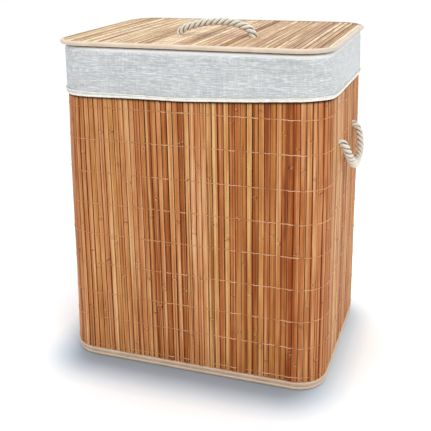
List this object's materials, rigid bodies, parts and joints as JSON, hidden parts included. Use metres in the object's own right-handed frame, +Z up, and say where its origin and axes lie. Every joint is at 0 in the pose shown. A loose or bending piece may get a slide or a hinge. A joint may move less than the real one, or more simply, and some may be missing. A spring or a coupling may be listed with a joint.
{
  "type": "laundry hamper",
  "caption": "Upright rounded rectangular hamper of bamboo slats with a hinged bound lid, rope handles and a cloth liner folded over the rim.",
  "frame": {"origin": "centre of the base panel's underside, on the floor", "axes": "+Z up; -Y is the front; +X is the right-hand side seen from the front; the lid's hinge is at the back, towards +Y"},
  "size_m": [0.4436, 0.3142, 0.5255],
  "materials": {
    "bamboo": "satin lacquered bamboo strip",
    "thread": "fine cotton thread",
    "backing_cloth": "plain woven backing",
    "steel_wire": "drawn wire",
    "binding_tape": "woven tape over piping",
    "liner_cloth": "slubbed linen weave",
    "hem_piping": "rolled hem",
    "loop_tape": "hook-and-loop tape",
    "rope": "three-strand cotton rope"
  },
  "bodies": {
    "basket": {"front_slats": "bamboo", "right_slats": "bamboo", "back_slats": "bamboo", "left_slats": "bamboo", "corner_slats": "bamboo", "slat_threads": "thread", "wall_lining": "backing_cloth", "top_rim_wire": "steel_wire", "top_binding": "binding_tape", "bottom_rim_wire": "steel_wire", "bottom_binding": "binding_tape", "base_slats": "bamboo", "base_lining": "backing_cloth", "base_wire": "steel_wire", "base_binding": "binding_tape", "front_cross_wires": "steel_wire", "back_cross_wires": "steel_wire", "wire_pockets": "backing_cloth", "liner": "liner_cloth", "liner_hem": "hem_piping", "liner_loop_strips": "loop_tape", "liner_hook_strips": "loop_tape", "right_handle_ends": "rope", "left_handle_ends": "rope", "hinge_strip_wall": "binding_tape"},
    "lid": {"lid_slats": "bamboo", "lid_threads": "thread", "lid_lining": "backing_cloth", "lid_wire": "steel_wire", "lid_binding": "binding_tape", "lid_handle_ends": "rope", "hinge_strip_lid": "binding_tape"},
    "lid_handle": {"lid_handle_rope": "rope"},
    "right_handle": {"right_handle_rope": "rope"},
    "left_handle": {"left_handle_rope": "rope"}
  },
  "joints": [
    {"name": "lid_hinge", "type": "hinge", "parent": "basket", "child": "lid", "pos_m": [0, 0.162, 0.492], "axis": [-1, 0, 0], "range_deg": [0, 250]},
    {"name": "lid_handle_swing", "type": "hinge", "parent": "lid", "child": "lid_handle", "pos_m": [0.014, -0.046, 0.5058], "axis": [1, 0, 0], "range_deg": [-80, 80]},
    {"name": "right_handle_swing", "type": "hinge", "parent": "basket", "child": "right_handle", "pos_m": [0.209, 0, 0.354], "axis": [0, -1, 0], "range_deg": [0, 165]},
    {"name": "left_handle_swing", "type": "hinge", "parent": "basket", "child": "left_handle", "pos_m": [-0.209, 0, 0.354], "axis": [0, 1, 0], "range_deg": [0, 165]}
  ]
}
